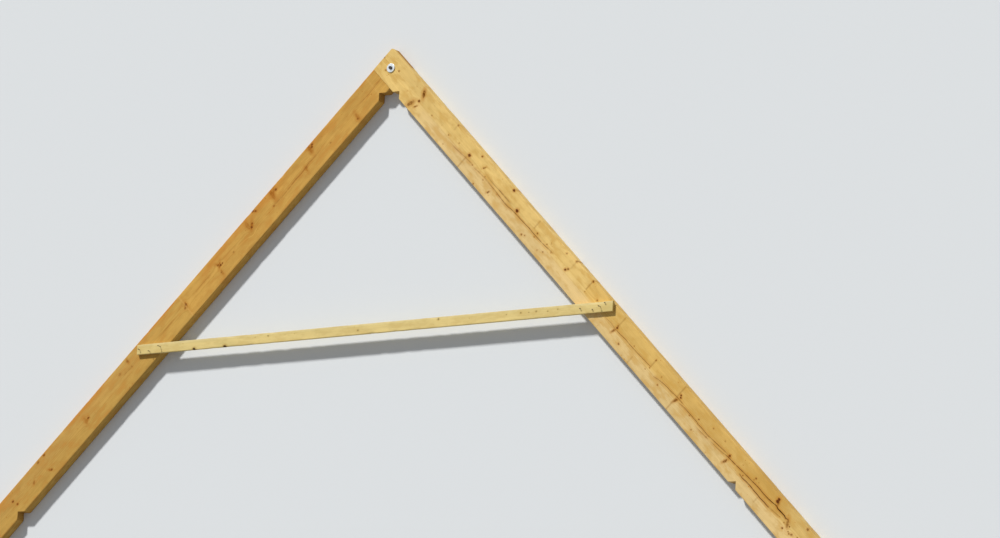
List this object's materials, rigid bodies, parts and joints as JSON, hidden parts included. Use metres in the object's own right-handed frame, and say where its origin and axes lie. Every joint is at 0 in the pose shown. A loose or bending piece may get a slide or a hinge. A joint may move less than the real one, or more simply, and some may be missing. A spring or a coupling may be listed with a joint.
{
  "type": "wooden roof truss",
  "caption": "Roof truss of planed spruce: rafters half lapped and screwed at the apex, seat cuts for ridge beam and purlins, and a nailed cross batten.",
  "frame": {"origin": "middle of the footprint of the truss, at the level of its back faces on the floor", "axes": "+X across the truss, from the left foot to the right foot; +Y up the truss towards the apex; +Z out of the front face"},
  "size_m": [8.4852, 4.3902, 0.137],
  "materials": {
    "rafter_wood": "planed spruce, lightly weathered",
    "batten_wood": "sawn fresh spruce",
    "zinc_steel": "galvanised",
    "nail_steel": "bright wire gone dull"
  },
  "bodies": {
    "root": {"rafter_left": "rafter_wood", "rafter_right": "rafter_wood", "batten": "batten_wood", "apex_washer": "zinc_steel", "apex_screw": "zinc_steel", "batten_nails_left": "nail_steel", "batten_nails_right": "nail_steel"}
  },
  "joints": []
}
